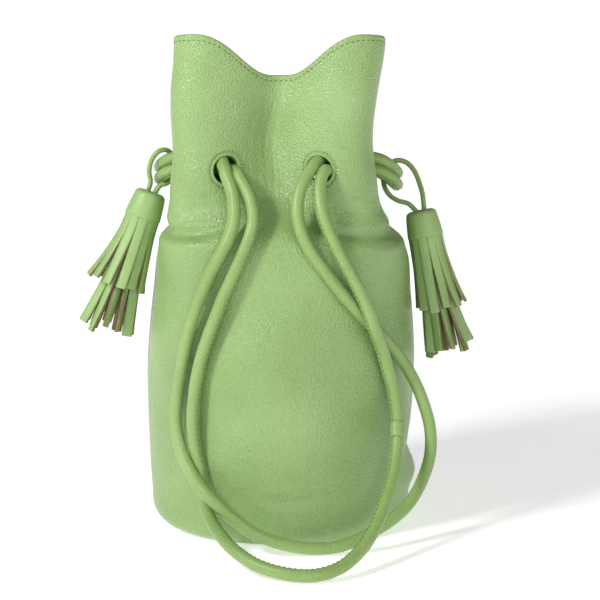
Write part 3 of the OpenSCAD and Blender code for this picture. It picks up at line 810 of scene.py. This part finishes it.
for name, strap in STRAPS.items():
    left_exit, right_exit = np.array(strap["left_exit"]), np.array(strap["right_exit"])
    route = np.array(strap["route"])
    hanging = smooth_line(np.vstack([left_exit[::-1], route, right_exit[::-1]]), 1.7)
    loop, loop_seam = sewn_strap(name + "_handle", hanging, strap["seam_start"], strap["seam_end"])
    h = strap["height"]
    neck_points = np.vstack([
        left_exit[-1:], leaning(corner_cut(-135, h)[::-1]),
        leaning(bulge(180, LEFT_REACH, LEFT_SAG, h)[::-1]),
        leaning(corner_cut(135, h)[::-1]), leaning(bulge(90, BACK_REACH, 0, h)[::-1]),
        leaning(corner_cut(45, h)[::-1]), leaning(bulge(0, RIGHT_REACH, RIGHT_SAG, h)[::-1]),
        leaning(corner_cut(-45, h)[::-1]), right_exit[:1]])
    neck_line = smooth_line(neck_points, 1.7)
    neck, neck_seam = sewn_strap(name + "_round_neck", neck_line, (0, 0, -1), (0, 0, -1))
    for piece in (neck, neck_seam):
        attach(piece, "bag")
    for piece in (loop, loop_seam):
        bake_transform(piece)
    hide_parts(name + "_neck")
    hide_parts(name + "_loop")
    at_lap = name == "strap_two"
    place = (route[LAP_AT] + route[LAP_AT + 1]) / 2 if at_lap else np.array([lean(212.0), BACK_REACH, h])
    direction = route[LAP_AT + 1] - route[LAP_AT] if at_lap else np.array([1.0, 0, 0])
    lap = turned_shape(name + "_lap_sleeve", SLEEVE, place, axes_for(direction), strap_leather, 32)
    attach(lap, name if at_lap else "bag")
    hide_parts(name + "_lap")
    print(name, "handle length", round(line_length(hanging)), "mm")

# %% [markdown]
# ## Tassels
# A tassel is one wide strip of leather, cut into a fringe along its lower part, rolled up tight on a cord
# and closed with a smooth cap. The roll gives two tiers: a short one outside and a long one inside. The
# grain side is smooth and green, the flesh side and the cut edges are khaki. Hair particles could make a
# fringe, but these strips are broad and flat, so each is a small bar of its own with its own bend and twist.

# %% Fringe strips
FACE = np.array([(-0.94, 1), (-0.5, 1.04), (0, 1.06), (0.5, 1.04), (0.94, 1), (1, 0.5), (1, -0.5), (0.94, -1),
                 (0.5, -1), (0, -1), (-0.5, -1), (-0.94, -1), (-1, -0.5), (-1, 0.5)])
GREEN_COLUMNS = (0, 1, 2, 3)
STRIPS, STRIP_T = 12, 1.7


def strip_rows(root, u, across, w, length, width, thick, splay, curl, twist):
    """Rows of points down one strip: straight out of the cap, then splaying, with a curl near its tip."""
    s = np.linspace(0, 1, 14)
    bend = np.radians(splay) * smooth(s * 2.4) + np.radians(curl) * s**2.5
    step = length / (len(s) - 1)
    down = np.concatenate([[0], np.cumsum(np.cos(bend[:-1]))]) * step
    out = np.concatenate([[0], np.cumsum(np.sin(bend[:-1]))]) * step
    centre = root - down[:, None] * w + out[:, None] * u
    normal = np.cos(bend)[:, None] * u + np.sin(bend)[:, None] * w
    t = np.radians(twist * s)[:, None]
    side, face = np.cos(t) * across + np.sin(t) * normal, np.cos(t) * normal - np.sin(t) * across
    arch = -0.055 * width * (FACE[:, 0] ** 2)
    x, y = FACE[:, 0] * width / 2, FACE[:, 1] * thick / 2 + arch
    rows = centre[:, None] + x[None, :, None] * side[:, None] + y[None, :, None] * face[:, None]
    tip = centre[-1] + unit(centre[-1] - centre[-2]) * 0.4
    ends = [centre[0] + (rows[0] - centre[0]) * 0.02, tip + (rows[-1] - centre[-1]) * 0.9,
            tip + (rows[-1] - centre[-1]) * 0.02]
    return np.concatenate([ends[:1], rows, ends[1:]])


def fringe(name, place, axes, root_r, drop, length, width, first, splay, lopsided, twist):
    """One tier of strips round the tassel's axis, each a little different from the next."""
    u0, v0, w = axes
    points, faces, kinds = [], [], []
    face_kind = np.ones(len(FACE))
    face_kind[list(GREEN_COLUMNS)] = 0
    for k in range(STRIPS):
        angle = math.radians(first + 360 * k / STRIPS) + random.uniform(-0.05, 0.05)
        u, across = math.cos(angle) * u0 + math.sin(angle) * v0, -math.sin(angle) * u0 + math.cos(angle) * v0
        rows_here = strip_rows(place + root_r * u - drop * w, u, across, w,
                               length * random.uniform(0.94, 1.03), width * random.uniform(0.93, 1.03),
                               STRIP_T,
                               splay + lopsided * math.cos(angle) + random.uniform(-2.2, 2.2),
                               random.uniform(-4, 16), random.uniform(-twist, twist))
        rows = len(rows_here)
        faces.append(grid_faces(rows, len(FACE), close_columns=True) + k * rows * len(FACE))
        kinds.append(np.tile(face_kind, rows - 1))
        points.append(rows_here.reshape(-1, 3))
    return make_piece(name, np.concatenate(points), np.concatenate(faces), [cap_leather, flesh_side],
                      np.concatenate(kinds))

# %% [markdown]
# ### Caps, cores and hangers
# The cap is drawn in at the top round the cord that the tassel hangs by, and overlaps itself down one side.
# The cord is a thin round thong that makes one loop round both straps where they bulge out of the neck. The
# sections and the loops are written out here, and the next cell builds both tassels from them.

# %% Sections and loops
CAP = [(2.4, -0.3), (4.5, 0.2), (6.6, 0.1), (8.0, -0.5), (8.8, -1.6), (9.2, -3.4), (9.7, -7), (10.2, -11.5),
       (10.5, -14.8), (10.4, -15.3), (10.05, -15.3), (9.9, -14.4), (9.4, -10), (8.5, -3.4), (7.6, -1.9),
       (2.4, -1.7)]
ROLL = [(0.3, -1.9), (2.6, -1.9), (3.0, -2.4), (3.0, -19.4), (2.6, -20), (0.3, -20)]
THONG_APART = 2.1
TASSELS = {
    "right_tassel": dict(
        place=(82.4, -13, 184.3), lean_out=12, side=1, hanger="right_hanger",
        upper=dict(splay=7, lopsided=3, twist=24), lower=dict(splay=6.5, lopsided=-1.5, twist=75),
        loop=[(75.5, -12, 188.2), (69.5, -10.4, 190), (64.6, -8.4, 193.2), (61.6, -6.4, 198.5),
              (61.2, -4.8, 205), (64.2, -3.4, 210.8), (69.4, -3, 213.4), (75, -3.6, 212), (79.4, -5.2, 207),
              (82, -7.6, 200.5), (83.8, -10.6, 193.5)]),
    "left_tassel": dict(
        place=(-74.4, -16.5, 195.2), lean_out=20, side=-1, hanger="left_hanger",
        upper=dict(splay=10, lopsided=3, twist=24), lower=dict(splay=7, lopsided=-1.5, twist=75),
        loop=[(-74.6, -17.8, 201), (-75.2, -19, 207), (-73.6, -20.6, 213.5), (-69.6, -20.8, 218.6),
              (-64.8, -18.8, 219.4), (-61.6, -16.2, 215.5), (-60.8, -14.4, 209.5), (-62, -14.2, 203.6),
              (-65.4, -15, 200.4), (-69.4, -15.6, 199)]),
}


def wrapped(angle, height):
    """The cap's leather overlaps itself down one side, which leaves a small step."""
    return 0.22 * smooth(1 - np.abs((angle - 4.1 + np.pi) % (2 * np.pi) - np.pi) / 0.22) * smooth(-height / 3)

# %% [markdown]
# ### Both tassels
# A tassel hangs a little tilted, so everything in it is built along its own axis. The thong is one tube that
# bends where it meets the cap.

# %% Build the tassels
for name, tassel in TASSELS.items():
    tilt, place = math.radians(tassel["lean_out"]), np.array(tassel["place"], float)
    side = tassel["side"]
    u = np.array([side * math.cos(tilt), 0, math.sin(tilt)])
    w = np.array([-side * math.sin(tilt), 0, math.cos(tilt)])
    axes = (u, np.cross(w, u), w)
    cap = turned_shape(name + "_cap_leather", CAP, place, axes, cap_leather, 72, wrapped)
    core = turned_shape(name + "_rolled_core", ROLL, place, axes, flesh_side, 32)
    upper = fringe(name + "_upper_strips", place, axes, 9.25, 12.6, 45.0, 6.1, 12, **tassel["upper"])
    lower = fringe(name + "_lower_strips", place, axes, 5.9, 12.0, 73.5, 5.9, 6, **tassel["lower"])
    ends = [place + np.array([x, 0, 0]) - 0.9 * w for x in (-THONG_APART, THONG_APART)]
    hanger_line = smooth_line(np.vstack([ends[0]] + [tassel["loop"]] + [ends[1]]), 0.9)
    _, hanger_side, hanger_across = line_frames(hanger_line, (0, 1, 0.2))
    hanger = tube(tassel["hanger"] + "_thong", hanger_line, hanger_side, hanger_across,
                  lambda angle: 1.5 + 0.12 * np.cos(2 * angle) + 0.1 * np.exp(-((angle - 3) / 0.3) ** 2),
                  strap_leather, 16)
    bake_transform(hanger)
    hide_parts(name + "_hanger")
    for piece, node, finish in ((cap, "cap", "tassel_leather"), (core, "core", "fringe_leather"),
                                (upper, "upper_fringe", "fringe_leather"),
                                (lower, "lower_fringe", "fringe_leather")):
        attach(piece, name)
        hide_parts(name + "_" + node)
    print(name, "strips:", 2 * STRIPS)

# %% [markdown]
# ## Studio
# The bag stands on a white floor, with white walls all round it and a dark ceiling. The floor glows as painted
# light that keeps it white, and glows less near the bag, so that the bag still throws a soft shadow there. A
# soft light from the upper left gives the leather its shape and the small glints on its grain.

# %% Floor and light
scene = bpy.context.scene
scene.view_settings.view_transform = "Standard"
world = bpy.data.worlds.new("white_studio")
scene.world = world
world.use_nodes = True
sky = world.node_tree
toward = add(sky, "ShaderNodeSeparateXYZ", {0: add(sky, "ShaderNodeTexCoord").outputs["Generated"]})
walls = add(sky, "ShaderNodeMapRange", {"Value": toward.outputs["Z"], "From Min": 0.12, "From Max": 0.34,
                                        "To Min": 1.0, "To Max": 0.16})
backdrop = sky.nodes["Background"]
sky.links.new(walls.outputs["Result"], backdrop.inputs["Strength"])
backdrop.inputs["Color"].default_value = colour("#ffffff")

floor_with_painted_glow, tree, shader, place = new_material("white_floor_with_painted_glow")
paper_grain = add(tree, "ShaderNodeTexNoise", {"Vector": place, "Scale": per_metre(3), "Detail": 3.0})
paper_tint = add(tree, "ShaderNodeValToRGB", {"Fac": paper_grain.outputs["Fac"]},
                 [(0.2, "#fafafa"), (0.8, "#ffffff")])
tree.links.new(paper_tint.outputs["Color"], shader.inputs["Base Color"])
shader.inputs["Roughness"].default_value = 0.9
shader.inputs["Emission Color"].default_value = colour("#ffffff")
# Painted light: the floor glows, weaker near the bag and stronger away from it.
away = add(tree, "ShaderNodeVectorMath", {0: place}, operation="LENGTH")
painted_floor_glow = add(tree, "ShaderNodeMapRange", {"Value": away.outputs["Value"], "From Min": 0.3, "From Max": 1.1,
                                        "To Min": 0.5, "To Max": 0.88})
tree.links.new(painted_floor_glow.outputs["Result"], shader.inputs["Emission Strength"])
FLOOR = 4000
floor = make_piece("floor", [(-FLOOR, -FLOOR, -0.3), (FLOOR, -FLOOR, -0.3), (FLOOR, FLOOR, -0.3),
                             (-FLOOR, FLOOR, -0.3)], [(0, 1, 2, 3)], [floor_with_painted_glow])


def softbox(name, place_mm, aim_mm, size_mm, watts):
    lamp = bpy.data.lights.new(name, "AREA")
    lamp.shape = "SQUARE"
    lamp.size = size_mm * MM
    lamp.energy = watts
    item = bpy.data.objects.new(name, lamp)
    item.location = Vector(place_mm) * MM
    item.rotation_euler = (Vector(aim_mm) - Vector(place_mm)).to_track_quat("-Z", "Y").to_euler()
    bpy.context.collection.objects.link(item)


softbox("key_softbox", (-800, -700, 900), (0, 0, 150), 220, 12)
softbox("front_softbox", (500, -1500, 800), (0, 0, 120), 700, 5.5)
print("lamps:", len(bpy.data.lights))
